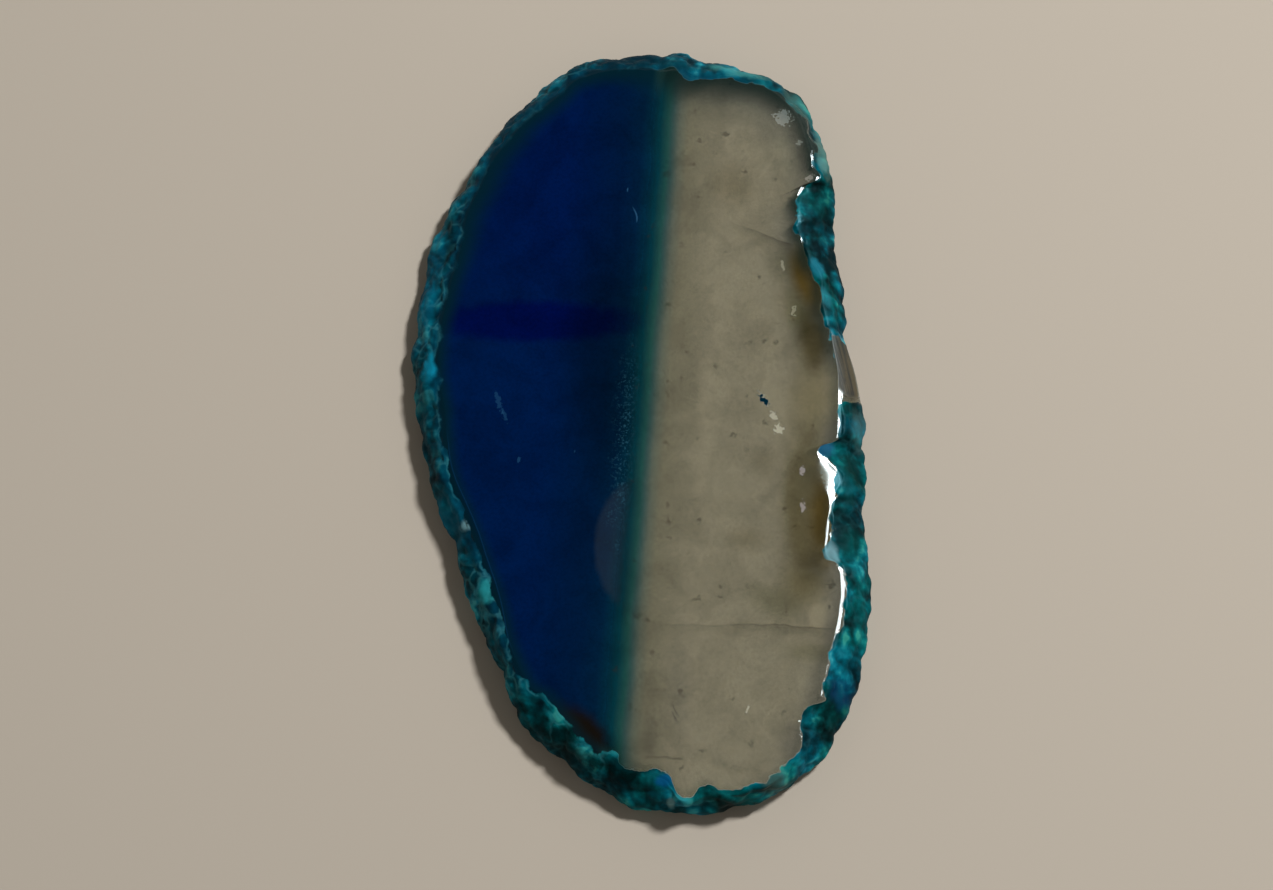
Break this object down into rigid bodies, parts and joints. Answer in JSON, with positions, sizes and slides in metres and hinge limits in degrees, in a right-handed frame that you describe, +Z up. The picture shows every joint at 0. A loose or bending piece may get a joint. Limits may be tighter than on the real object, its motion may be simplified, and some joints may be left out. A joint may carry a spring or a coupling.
{
  "type": "agate slice",
  "caption": "Thin translucent slab sawn across an agate nodule and polished flat on both faces, half of it dyed deep blue, with the nodule's rough teal-dyed skin left round the edge.",
  "frame": {"origin": "middle of the slab's bounding box in X and Y, on the plane of its flat back face", "axes": "+Z up, square to the two sawn faces, from the larger back face to the smaller polished front face; +Y along the slab's length towards its blunter, rounded far end; +X to the clear, undyed half"},
  "size_m": [0.057, 0.1002, 0.005],
  "materials": {
    "dyed_agate": "faces polished to a gloss, skin rough and lumpy; translucent where it isn't dyed"
  },
  "bodies": {
    "root": {"agate_slice": "dyed_agate"}
  },
  "joints": []
}
